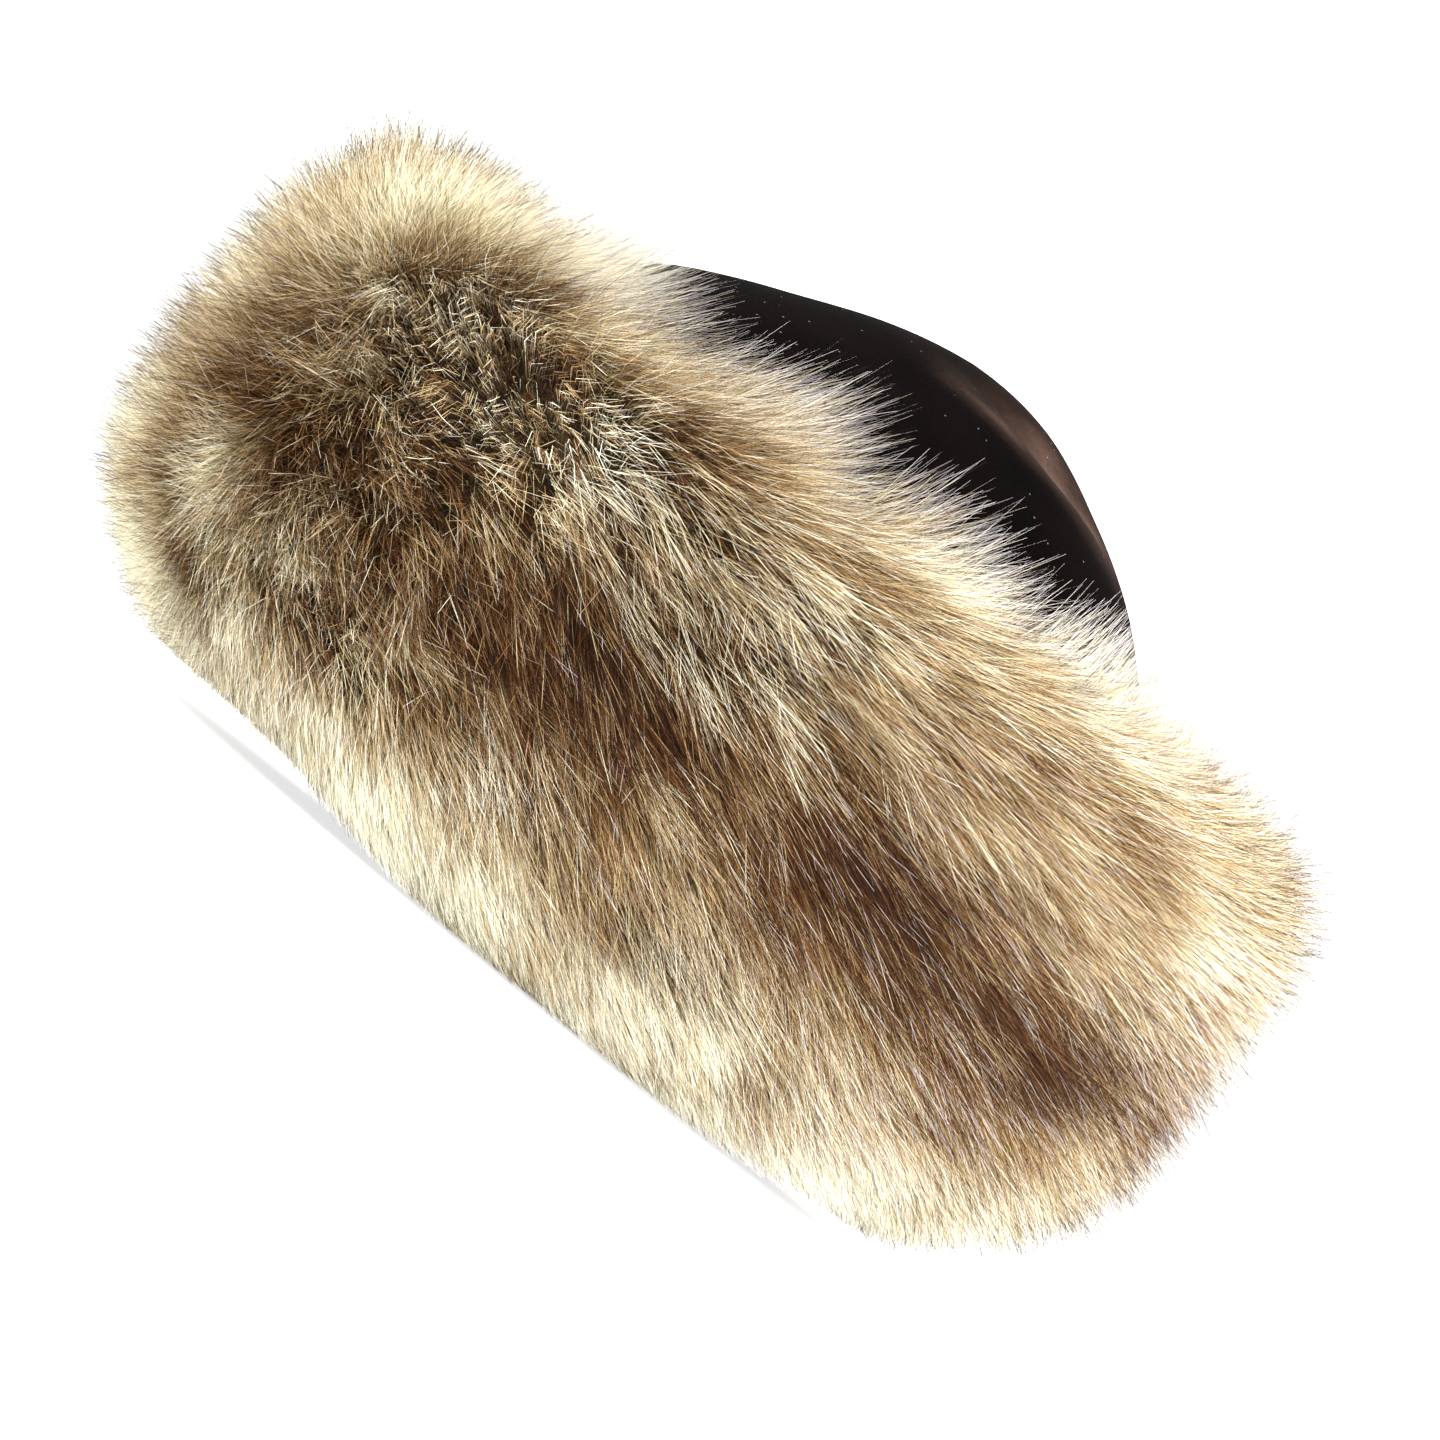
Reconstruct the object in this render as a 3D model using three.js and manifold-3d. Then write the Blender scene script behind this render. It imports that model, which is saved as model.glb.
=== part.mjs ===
// Fur hat: a soft velvet crown inside a deep ring of long fur.
// Millimetres, +Z up. The hat stands on z = 0, its front faces -Y and its middle is on the Z axis.

import * as THREE from 'three';
import { mergeVertices } from 'three/addons/utils/BufferGeometryUtils.js';
import Module from 'manifold-3d';

const wasm = await Module();
wasm.setup();

// Driving dimensions of the crown
const HEAD_WIDTH = 168;            // inside, left to right
const HEAD_LENGTH = 200;           // inside, front to back
const CLOTH = 2;                   // velvet with its interlining
const RIM_HEIGHT = 16;             // the rim lies above the lowest hair
const HAT_HEIGHT = 182;
const CROWN_SEGMENTS = 48;

// The crown's outer wall, from the rim to the top: how far it has come in from the upright wall
// and its height
const CROWN_PROFILE = [
  { inward: 0, height: RIM_HEIGHT },
  { inward: 0, height: 131 },
  { inward: 2.5, height: 142 },
  { inward: 9, height: 150 },
  { inward: 17, height: 156.5 },
  { inward: 26, height: 162 },
  { inward: 35, height: 166.8 },
  { inward: 44, height: 171 },
  { inward: 53, height: 175 },
  { inward: 62, height: 178.3 },
  { inward: 74, height: 181 },
  { inward: HEAD_WIDTH / 2 + CLOTH, height: HAT_HEIGHT },
];

// The dome is fuller on +X and flatter on -X by this much. Its soft forms fade out towards the wall,
// between these shares of the way in to the middle.
const DOME_LEAN = 2.2;
const DOME_FADE = { from: 0.02, to: 0.25 };

// The soft crease on the front of the dome, as a line seen from above
const CREASE_PATH = [
  { x: -16, y: -30 },
  { x: 8, y: -41 },
  { x: 36, y: -41 },
  { x: 66, y: -20 },
];
const CREASE_RISE = 2.4;
const CREASE_WIDTH = 8;
const FURROW_DEPTH = 3;
const FURROW_WIDTH = 10;
const FURROW_BEHIND = 15;          // from the crease's line to the furrow's line, towards the middle
const CREASE_STEPS = 30;

// Driving dimensions of the fur band
const GAP = 0.35;                  // clear space between the crown and the band
const FUR_DEPTH = 69;              // from the crown's wall to the outer hair
const FUR_TOP = 150;
const UPPER_ROUND = { out: 60, up: 55 };
const LOWER_ROUND = { out: 66, up: 66 };
const SIDE_FROM = 0.46;            // the lower round ends and the upright side starts, as a share of the section
const SIDE_TO = 0.6;               // the upright side ends and the upper round starts
const HEM_OUT = FUR_DEPTH - LOWER_ROUND.out;   // the lowest hair stands this far out from the crown's wall
const PRESSED = 3;                 // the lowest hair is pressed flat by this much where the hat rests
const LOCK_REACH = 14;             // how far the locks stand out of the solid pile
const PILE_SEGMENTS = 48;
const PILE_STEPS = 10;

// Locks of fur, in rows up the band's section: 0 is its lowest hair and 1 its top. A tip lies
// further down the section than its root by droop, and the top row lies up over the crown.
const LOCK_ROWS = [
  { along: 0.16, half: 22, count: 18, droop: 0.04 },
  { along: 0.32, half: 23, count: 20, droop: 0.06 },
  { along: 0.48, half: 24, count: 20, droop: 0.06 },
  { along: 0.64, half: 23, count: 20, droop: 0.04 },
  { along: 0.80, half: 22, count: 19, droop: 0.01 },
  { along: 0.95, half: 19, count: 17, droop: -0.08 },
];
const LOCK_ROOT = 26;              // how far below the outer hair a lock starts
const LOCK_LEAN = 0.34;            // a tip lies this far past its root, in radians, anticlockwise from above
const LOCK_BULGE = 5;
const LOCK_FLATNESS = 0.55;
const LOCK_JITTER = { tip: 2.5, place: 0.18 };   // in millimetres, and in shares of the spacing
const LOCK_SIDES = 5;
const LOCK_SEED = 41;

// A lock's outline: share of its half width and share of its length
const LOCK_PROFILE = [
  { wide: 0, far: 0 },
  { wide: 1, far: 0.5 },
  { wide: 0.55, far: 0.82 },
  { wide: 0, far: 1 },
];

const VELVET = new THREE.MeshStandardMaterial({ color: 0x1d1412, roughness: 0.95, metalness: 0 });
const FUR = new THREE.MeshStandardMaterial({ color: 0xb39a72, roughness: 0.9, metalness: 0 });

// The crown's wall is an oval, and both pieces are laid out from it
const wallHalfWidth = HEAD_WIDTH / 2 + CLOTH;
const lengthRatio = HEAD_LENGTH / HEAD_WIDTH;
const wallHalfLength = wallHalfWidth * lengthRatio;

// A repeatable source of numbers from -1 to 1
function makeRandom(seed) {
  let state = seed;
  return () => {
    state = (state * 16807) % 2147483647;
    return (state / 2147483647) * 2 - 1;
  };
}

// A point beside the crown's wall, at an angle seen from above and an offset out from the wall
function besideWall(angle, offset, height) {
  const cos = Math.cos(angle);
  const sin = Math.sin(angle);
  const normal = new THREE.Vector2(cos / wallHalfWidth, sin / wallHalfLength).normalize();
  return new THREE.Vector3(
    wallHalfWidth * cos + normal.x * offset,
    wallHalfLength * sin + normal.y * offset,
    height,
  );
}

// Move every vertex of a shape through a function of its place
function reshape(geometry, move) {
  const position = geometry.attributes.position;
  const point = new THREE.Vector3();
  for (let i = 0; i < position.count; i += 1) {
    point.fromBufferAttribute(position, i);
    point.copy(move(point));
    position.setXYZ(i, point.x, point.y, point.z);
  }
  return geometry;
}

// A shape without normals, with its shared vertices merged
function welded(geometry) {
  const bare = geometry.clone();
  bare.deleteAttribute('normal');
  bare.deleteAttribute('uv');
  return mergeVertices(bare, 1e-4);
}

function toSolid(geometry) {
  const merged = welded(geometry);
  const vertProperties = new Float32Array(merged.attributes.position.array);
  const triVerts = new Uint32Array(merged.index.array);
  return new wasm.Manifold(new wasm.Mesh({ numProp: 3, vertProperties, triVerts }));
}

function fromSolid(solid) {
  const mesh = solid.getMesh();
  const geometry = new THREE.BufferGeometry();
  geometry.setAttribute('position', new THREE.BufferAttribute(mesh.vertProperties, 3));
  geometry.setIndex(new THREE.BufferAttribute(mesh.triVerts, 1));
  geometry.computeVertexNormals();
  return geometry;
}

// How far the soft dome is lifted or sunk at a place seen from above
const creaseLine = new THREE.SplineCurve(CREASE_PATH.map((p) => new THREE.Vector2(p.x, p.y)));
const creasePoints = creaseLine.getPoints(CREASE_STEPS);

function domeShift(x, y) {
  const spread = Math.hypot(x / wallHalfWidth, y / wallHalfLength);
  const onDome = THREE.MathUtils.smoothstep(1 - spread, DOME_FADE.from, DOME_FADE.to);
  const place = new THREE.Vector2(x, y);
  let nearest = Infinity;
  let share = 0;
  let behind = 0;
  creasePoints.forEach((point, i) => {
    const distance = point.distanceTo(place);
    if (distance < nearest) {
      nearest = distance;
      share = i / CREASE_STEPS;
      behind = place.length() < point.length() ? distance : -distance;
    }
  });
  const lean = DOME_LEAN * Math.sin((x / wallHalfWidth) * Math.PI);
  const rise = CREASE_RISE * Math.exp(-((nearest / CREASE_WIDTH) ** 2));
  const furrow = FURROW_DEPTH * Math.exp(-(((behind - FURROW_BEHIND) / FURROW_WIDTH) ** 2));
  const depth = Math.sin(Math.PI * share);
  return onDome * (lean + (rise - furrow) * depth);
}

// The crown's profile moved by a distance along the section's normal, outwards or, if negative, inwards
function movedProfile(distance) {
  const last = CROWN_PROFILE.length - 1;
  return CROWN_PROFILE.map((p, i) => {
    const before = CROWN_PROFILE[Math.max(i - 1, 0)];
    const after = CROWN_PROFILE[Math.min(i + 1, last)];
    const along = new THREE.Vector2(before.inward - after.inward, after.height - before.height).normalize();
    if (i === 0) {
      along.set(0, 1);
    }
    if (i === last) {
      along.set(-1, 0);
    }
    const half = wallHalfWidth - p.inward;
    return new THREE.Vector2(half + along.y * distance, p.height - along.x * distance);
  });
}

// A lathe shape round the Z axis, stretched to the hat's oval and given the dome's soft form
function domeGeometry(profile) {
  const geometry = new THREE.LatheGeometry(profile, CROWN_SEGMENTS);
  geometry.rotateX(Math.PI / 2);
  return reshape(geometry, (p) => {
    const y = p.y * lengthRatio;
    return new THREE.Vector3(p.x, y, p.z + domeShift(p.x, y));
  });
}

// The crown: a hollow dome of cloth, open below
function crownGeometry() {
  const inner = movedProfile(-CLOTH).reverse();
  const outer = movedProfile(0);
  return domeGeometry([...inner, ...outer]);
}

// The room that the fur leaves for the crown
function crownRoom() {
  const below = new THREE.Vector2(0, RIM_HEIGHT);
  return toSolid(domeGeometry([below, ...movedProfile(GAP)]));
}

// The pile's section, from its lowest hair (along 0) to its top (along 1), as a quarter round, a
// straight side and a quarter round: the offset out from the crown's wall and the height.
// inset lies that far in from the outer hair.
const sideBottom = LOWER_ROUND.up - PRESSED;
const sideTop = FUR_TOP - UPPER_ROUND.up;

function pileSection(along, inset) {
  const side = FUR_DEPTH - inset;
  if (along < SIDE_FROM) {
    const turn = (1 - along / SIDE_FROM) * (Math.PI / 2);
    const out = side - HEM_OUT;
    return { offset: HEM_OUT + out * Math.cos(turn), height: sideBottom - LOWER_ROUND.up * Math.sin(turn) };
  }
  if (along > SIDE_TO) {
    const turn = ((along - SIDE_TO) / (1 - SIDE_TO)) * (Math.PI / 2);
    const centre = FUR_DEPTH - UPPER_ROUND.out;
    return {
      offset: centre + (side - centre) * Math.cos(turn),
      height: sideTop + (UPPER_ROUND.up - inset) * Math.sin(turn),
    };
  }
  const share = (along - SIDE_FROM) / (SIDE_TO - SIDE_FROM);
  return { offset: side, height: sideBottom + (sideTop - sideBottom) * share };
}

// The close pile with its cloth backing, as one ring
function pileSolid() {
  const profile = [new THREE.Vector2(wallHalfWidth + GAP, RIM_HEIGHT)];
  for (let i = 0; i <= PILE_STEPS; i += 1) {
    const section = pileSection(i / PILE_STEPS, LOCK_REACH);
    profile.push(new THREE.Vector2(wallHalfWidth + section.offset, section.height));
  }
  profile.push(new THREE.Vector2(wallHalfWidth + GAP, FUR_TOP - LOCK_REACH));
  profile.push(profile[0].clone());
  const geometry = new THREE.LatheGeometry(profile, PILE_SEGMENTS);
  geometry.rotateX(Math.PI / 2);
  reshape(geometry, (p) => besideWall(Math.atan2(p.y, p.x), Math.hypot(p.x, p.y) - wallHalfWidth, p.z));
  return toSolid(geometry);
}

// One lock of fur, a flat tapered body bent along a line from its root to its tip
function lockSolid(angle, row, jitter) {
  const start = pileSection(row.along, LOCK_ROOT);
  const end = pileSection(row.along - row.droop, jitter);
  const root = besideWall(angle, start.offset, start.height);
  const tip = besideWall(angle + LOCK_LEAN, end.offset, end.height);
  const outward = pileSection(row.along, 0);
  const surface = besideWall(angle + LOCK_LEAN / 2, outward.offset, outward.height);
  const middle = root.clone().lerp(tip, 0.5);
  const bulge = surface.sub(middle).setLength(LOCK_BULGE);
  const line = new THREE.QuadraticBezierCurve3(root, middle.clone().addScaledVector(bulge, 2), tip);

  const outline = LOCK_PROFILE.map((p) => new THREE.Vector2(p.wide * row.half, p.far));
  const geometry = new THREE.LatheGeometry(outline, LOCK_SIDES);
  return toSolid(reshape(geometry, (p) => {
    const far = THREE.MathUtils.clamp(p.y, 0, 1);
    const centre = line.getPoint(far);
    const forward = line.getTangent(far);
    const across = new THREE.Vector3().crossVectors(bulge, forward).normalize();
    const deep = new THREE.Vector3().crossVectors(forward, across).normalize();
    return centre.addScaledVector(across, -p.x).addScaledVector(deep, p.z * LOCK_FLATNESS);
  }));
}

// The fur band: the pile with its locks, cut flat where it rests and clear of the crown
function furGeometry() {
  const random = makeRandom(LOCK_SEED);
  let fur = pileSolid();
  LOCK_ROWS.forEach((row, level) => {
    for (let i = 0; i < row.count; i += 1) {
      const turn = (i + level / 2 + random() * LOCK_JITTER.place) / row.count;
      fur = fur.add(lockSolid(turn * 2 * Math.PI, row, (random() + 1) * LOCK_JITTER.tip));
    }
  });
  const wide = 4 * (wallHalfLength + FUR_DEPTH);
  const deep = LOWER_ROUND.up;
  const floor = new THREE.BoxGeometry(wide, wide, deep).translate(0, 0, -deep / 2);
  return fromSolid(fur.subtract(toSolid(floor)).subtract(crownRoom()));
}

const group = new THREE.Group();

const crown = new THREE.Mesh(welded(crownGeometry()), VELVET);
crown.name = 'crown';
group.add(crown);

const furBand = new THREE.Mesh(furGeometry(), FUR);
furBand.name = 'fur_band';
group.add(furBand);

export default group;
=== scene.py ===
# %% [markdown]
# A round winter hat: a soft velvet crown that sits low inside a broad, deep band of long faux fur.
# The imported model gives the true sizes. It holds the crown as a thin dome and the band as one solid
# with rough locks, and this lesson dresses both. The crown becomes velvet with a soft crease, and
# the band becomes three hundred thousand single hairs that lean round the hat.

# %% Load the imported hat
import math

import bpy
import numpy as np
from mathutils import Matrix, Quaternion, Vector


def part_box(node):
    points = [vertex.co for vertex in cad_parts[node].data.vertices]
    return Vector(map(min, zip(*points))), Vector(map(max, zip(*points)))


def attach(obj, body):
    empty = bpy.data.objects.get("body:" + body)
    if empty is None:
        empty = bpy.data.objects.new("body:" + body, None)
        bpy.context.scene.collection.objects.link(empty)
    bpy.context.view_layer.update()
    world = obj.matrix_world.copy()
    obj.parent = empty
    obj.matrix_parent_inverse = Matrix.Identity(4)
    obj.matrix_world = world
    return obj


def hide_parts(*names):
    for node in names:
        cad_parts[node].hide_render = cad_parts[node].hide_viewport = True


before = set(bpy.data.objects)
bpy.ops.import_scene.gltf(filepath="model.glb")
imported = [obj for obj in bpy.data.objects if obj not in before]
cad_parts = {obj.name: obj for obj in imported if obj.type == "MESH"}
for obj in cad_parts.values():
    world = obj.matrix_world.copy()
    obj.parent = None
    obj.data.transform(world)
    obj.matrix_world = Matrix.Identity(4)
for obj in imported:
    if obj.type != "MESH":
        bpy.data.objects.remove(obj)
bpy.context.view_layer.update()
print("nodes:", sorted(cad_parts))

# %% [markdown]
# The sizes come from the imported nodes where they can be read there, and otherwise they repeat the
# hat's own measures. The crown's wall is an oval seen from above. All that lies round it is placed
# by an angle round the hat, an offset out from the wall and a height, so no piece can drift.

# %% Sizes of the hat
MM = 0.001
crown_low, crown_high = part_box("crown")

WALL_X = crown_high.x
WALL_Y = crown_high.y
RIM_HEIGHT = crown_low.z
HAT_HEIGHT = 182 * MM
FUR_TOP = 150 * MM
FUR_DEPTH = 69 * MM
HEM_OUT = 3 * MM
TOP_OUT = 9 * MM
LOWER_UP = 63 * MM
LOWER_DROP = 66 * MM
UPPER_UP = 55 * MM
SIDE_FROM, SIDE_TO = 0.46, 0.6
FULL_SHOULDER = 6 * MM
print("crown wall:", round(WALL_X / MM, 1), "by", round(WALL_Y / MM, 1), "mm, as half widths")

# %% [markdown]
# The fur's outer surface is followed by a share called along. It runs from the hem (0) up a quarter
# round, an upright side and another quarter round to the top (1), and past 1 it goes in over the
# crown. An inset measures inwards from the outer hair, so inset 0 is the surface of the fur. The
# upper shoulder is a little fuller than a true round, and the hem rises a little at both ends.

# %% Places round the hat
OVER_CROWN = np.array([-100, 40]) * MM
HEM_DEPTH_SHARE = 0.35
HEM_RISES = [
    # side, rise, and the shares of the hat's half width between which it rises
    (-1, 7 * MM, 0.1, 0.8),
    (1, 4 * MM, 0.5, 1),
]
HEM_RISE_BELOW = 60 * MM
NORMAL_STEP = 0.01


def smoothstep(value, low, high):
    """0 below low, 1 above high, and smooth between them."""
    share = np.clip((value - low) / (high - low), 0, 1)
    return share * share * (3 - 2 * share)


def fur_section(along, inset):
    """Offset out from the crown's wall, and height, at an inset from the outer hair."""
    low_turn = (1 - np.clip(along, 0, SIDE_FROM) / SIDE_FROM) * math.pi / 2
    high_turn = (np.clip(along, SIDE_TO, 1) - SIDE_TO) / (1 - SIDE_TO) * math.pi / 2
    side = FUR_DEPTH - inset
    low_out = HEM_OUT + (side - HEM_OUT) * np.cos(low_turn)
    high_out = TOP_OUT + (side - TOP_OUT) * np.cos(high_turn)
    low = LOWER_UP - (LOWER_DROP - inset * HEM_DEPTH_SHARE) * np.sin(low_turn)
    high = FUR_TOP - UPPER_UP + (UPPER_UP - inset) * np.sin(high_turn)
    share = np.clip((along - SIDE_FROM) / (SIDE_TO - SIDE_FROM), 0, 1)
    upright = LOWER_UP + (FUR_TOP - UPPER_UP - LOWER_UP) * share
    past = np.clip(along - 1, 0, None)
    fuller = FULL_SHOULDER * np.sin(2 * high_turn) ** 2
    offset = np.where(along < SIDE_FROM, low_out, high_out)
    offset = offset + fuller * np.cos(high_turn) + past * OVER_CROWN[0]
    height = np.where(along < SIDE_FROM, low, np.where(along > SIDE_TO, high, upright))
    return offset, height + fuller * np.sin(high_turn) + past * OVER_CROWN[1]


def outwards(angle):
    """The direction out from the crown's wall, seen from above."""
    x, y = np.cos(angle) / WALL_X, np.sin(angle) / WALL_Y
    length = np.hypot(x, y)
    return x / length, y / length


def beside_wall(angle, offset, height):
    """Rows of x, y and z for places beside the crown's wall."""
    out_x, out_y = outwards(angle)
    x = WALL_X * np.cos(angle) + out_x * offset
    y = WALL_Y * np.sin(angle) + out_y * offset
    rise = sum(up * smoothstep(side * np.cos(angle), low, high) for side, up, low, high in HEM_RISES)
    height = height + rise * (1 - smoothstep(height, 0, HEM_RISE_BELOW))
    return np.stack([x, y, height], axis=-1)


def fur_normal(angle, along):
    """The direction straight out of the fur's surface."""
    middle = np.clip(along, NORMAL_STEP, 1 - NORMAL_STEP)
    out_low, up_low = fur_section(middle - NORMAL_STEP, 0)
    out_high, up_high = fur_section(middle + NORMAL_STEP, 0)
    out, up = up_high - up_low, out_low - out_high
    length = np.hypot(out, up)
    out_x, out_y = outwards(angle)
    return np.stack([out_x * out / length, out_y * out / length, up / length], axis=-1)


# %% [markdown]
# The camera looks at the front of the hat from about the hat's own height. It is rolled, because the
# hat lies slanted in the picture. A long lens keeps the near side of the band from swelling. The
# frame is about 344 mm wide at the hat's middle, and its centre lies a little right of the hat's own.

# %% Camera
FRAME_WIDTH = 343.5 * MM
CAMERA_DISTANCE = 5
CAMERA_ELEVATION = math.radians(0.3)
CAMERA_ROLL = math.radians(39.5)
AIM = Vector((7.1, 0, 78)) * MM
SENSOR = 36

bpy.ops.object.camera_add()
camera = bpy.context.object
camera.name = "portrait_camera"
camera.data.sensor_width = SENSOR
camera.data.lens = SENSOR * CAMERA_DISTANCE / FRAME_WIDTH
looking = Vector((0, math.cos(CAMERA_ELEVATION), -math.sin(CAMERA_ELEVATION)))
camera.location = AIM - looking * CAMERA_DISTANCE
camera.rotation_mode = "QUATERNION"
camera.rotation_quaternion = looking.to_track_quat("-Z", "Y") @ Quaternion((0, 0, 1), CAMERA_ROLL)
bpy.context.scene.camera = camera
print("lens:", round(camera.data.lens), "mm")

# %% [markdown]
# The hat stands on a plain white floor in soft light from all round, as in a shop's photograph. The
# bright world does most of the lighting, and four large lamps model the round of the fur. The floor
# glows softly by itself, so the hat throws hardly any shadow on it.

# %% Floor, world and lamps
FLOOR_SIZE = 60
FLOOR_GREY = 0.5
FLOOR_GLOW = 0.75
WORLD_LIGHT = 1.9

bpy.ops.mesh.primitive_plane_add(size=FLOOR_SIZE)
floor = bpy.context.object
floor.name = "pale_floor"

world = bpy.data.worlds.new("white_studio")
world.use_nodes = True
world.node_tree.nodes["Background"].inputs["Color"].default_value = (1, 1, 1, 1)
world.node_tree.nodes["Background"].inputs["Strength"].default_value = WORLD_LIGHT
bpy.context.scene.world = world
bpy.context.scene.view_settings.view_transform = "Standard"

LAMPS = [
    # name, place in metres, width in metres, watts
    ("high_left_lamp", (-1.3, -0.8, 1.0), 0.8, 28),
    ("left_lamp", (-1.4, -0.2, 0.4), 0.7, 14),
    ("low_front_lamp", (0.5, -1.3, 0.15), 0.9, 38),
    ("right_lamp", (1.3, -0.2, 0.6), 0.7, 16),
]
for name, place, width, watts in LAMPS:
    bpy.ops.object.light_add(type="AREA", location=place)
    lamp = bpy.context.object
    lamp.name = name
    lamp.data.size = width
    lamp.data.energy = watts
    lamp.rotation_euler = (AIM - lamp.location).to_track_quat("-Z", "Y").to_euler()
print("lamps:", len(LAMPS))


# %% [markdown]
# Shader maths reads better as plain Python. Field wraps the output of a node, so that a + b or
# 1 - mask adds the Math node that works it out. Finish adds every other node of one material.

# %% Helpers for materials
class Field:
    """The output of a node, used in expressions."""

    def __init__(self, finish, socket):
        self.finish = finish
        self.socket = socket

    def math(self, operation, first, second):
        return self.finish.node("ShaderNodeMath", {"operation": operation}, {0: first, 1: second})

    def __add__(self, other):
        return self.math("ADD", self, other)

    __radd__ = __add__

    def __sub__(self, other):
        return self.math("SUBTRACT", self, other)

    def __rsub__(self, other):
        return self.math("SUBTRACT", other, self)

    def __mul__(self, other):
        return self.math("MULTIPLY", self, other)

    __rmul__ = __mul__

    def __gt__(self, other):
        return self.math("GREATER_THAN", self, other)

    def __lt__(self, other):
        return self.math("LESS_THAN", self, other)


class Finish:
    """One material, and the way to add nodes to it."""

    def __init__(self, name):
        self.material = bpy.data.materials.new(name)
        self.material.use_nodes = True
        self.tree = self.material.node_tree
        self.surface = self.tree.nodes["Principled BSDF"]
        self.output = self.tree.nodes["Material Output"]

    def node(self, kind, settings=None, values=None, output=0):
        """Adds a node: first its settings, then the values or links of its sockets."""
        made = self.tree.nodes.new(kind)
        for name, setting in (settings or {}).items():
            if name == "stops":
                self.set_stops(made.color_ramp, setting)
            else:
                setattr(made, name, setting)
        for name, value in (values or {}).items():
            self.give(made.inputs[name], value)
        return Field(self, made.outputs[output])

    def give(self, socket, value):
        """Links a field to a socket, or sets the socket to a value."""
        if isinstance(value, Field):
            self.tree.links.new(value.socket, socket)
        else:
            socket.default_value = value

    def set_stops(self, ramp, stops):
        """Sets a ramp's stops, given as rows of position and colour."""
        while len(ramp.elements) < len(stops):
            ramp.elements.new(1)
        for element, (position, color) in zip(ramp.elements, stops):
            element.position = position
            element.color = color

    def ramp(self, factor, stops):
        """A colour that goes through the stops as the factor rises."""
        return self.node("ShaderNodeValToRGB", {"stops": stops}, {"Fac": factor})

    def blend(self, factor, first, second):
        """Two colours mixed by a factor."""
        values = {0: factor, 6: first, 7: second}
        return self.node("ShaderNodeMix", {"data_type": "RGBA"}, values, output=2)


def shade(code):
    """A colour as it looks on a screen, such as "c8a878", turned into light."""
    parts = [int(code[i:i + 2], 16) / 255 for i in (0, 2, 4)]
    return tuple(v / 12.92 if v <= 0.04045 else ((v + 0.055) / 1.055) ** 2.4 for v in parts) + (1,)


floor_finish = Finish("white_floor")
floor_finish.surface.inputs["Base Color"].default_value = (FLOOR_GREY, FLOOR_GREY, FLOOR_GREY, 1)
floor_finish.surface.inputs["Roughness"].default_value = 1
floor_finish.surface.inputs["Specular IOR Level"].default_value = 0
floor_finish.surface.inputs["Emission Color"].default_value = (1, 1, 1, 1)
floor_finish.surface.inputs["Emission Strength"].default_value = FLOOR_GLOW
floor.data.materials.append(floor_finish.material)

# %% [markdown]
# The velvet crown is one soft dome of cloth whose wall goes down inside the band. It starts as a
# circle at the rim. The circle is extruded upwards and drawn in, step by step, along the dome's
# profile, and the last step is merged into the middle. An extrude keeps the rings evenly spaced, so
# the cloth can be bent afterwards without tearing.

# %% The crown's profile
CROWN_SIDES = 112
CROWN_PROFILE = [
    # in from the wall and height, both in mm
    (0, 50), (0, 90), (0, 115), (0.3, 126), (0.9, 133), (2.5, 142), (5.2, 146.3), (9, 150),
    (13, 153.5), (17, 156.5), (21.5, 159.4), (26, 162), (30.5, 164.5), (35, 166.8), (39.5, 168.9),
    (44, 171), (48.5, 173.1), (53, 175), (57.5, 176.8), (62, 178.3), (68, 179.9), (74, 181),
    (80, 181.7),
]

bpy.ops.mesh.primitive_circle_add(vertices=CROWN_SIDES, radius=WALL_X, location=(0, 0, RIM_HEIGHT))
crown = bpy.context.object
crown.name = "crown_velvet"
bpy.ops.object.transform_apply(location=True, rotation=True, scale=True)
bpy.ops.object.mode_set(mode="EDIT")
bpy.ops.mesh.select_all(action="SELECT")
half, height = WALL_X, RIM_HEIGHT
for inward, level in CROWN_PROFILE:
    narrower = (WALL_X - inward * MM) / half
    bpy.ops.mesh.extrude_region_move(TRANSFORM_OT_translate={"value": (0, 0, level * MM - height)})
    bpy.ops.transform.resize(value=(narrower, narrower, 1), center_override=(0, 0, level * MM))
    half, height = WALL_X - inward * MM, level * MM
bpy.ops.mesh.extrude_region_move(TRANSFORM_OT_translate={"value": (0, 0, HAT_HEIGHT - height)})
bpy.ops.mesh.merge(type="CENTER")
bpy.ops.mesh.select_all(action="SELECT")
bpy.ops.transform.resize(value=(1, WALL_Y / WALL_X, 1), center_override=(0, 0, 0))
bpy.ops.mesh.normals_make_consistent(inside=False)
bpy.ops.object.mode_set(mode="OBJECT")
print("crown faces:", len(crown.data.polygons))

# %% [markdown]
# Real cloth isn't a true dome. The top is fuller on one side, and a soft crease runs over the front
# with a shallow furrow behind it. Each point of the cloth is lifted by a function of where it lies,
# seen from above. The crease is a line through four places, smoothed by a short formula.

# %% The crown's soft form
DOME_FROM, DOME_TO = 0.02, 0.25
DOME_LEAN = 2.2 * MM
CREASE_PATH = np.array([(-16, -30), (8, -41), (36, -41), (66, -20)]) * MM
CREASE_STEPS = 14
CREASE_RISE, CREASE_WIDTH = 1.4 * MM, 10 * MM
FURROW_DEPTH, FURROW_WIDTH, FURROW_BEHIND = 3 * MM, 10 * MM, 15 * MM
SLACK, SLACK_BEND, SLACK_X, SLACK_Y = 0.5 * MM, 1.1, 17 * MM, 23 * MM


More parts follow.
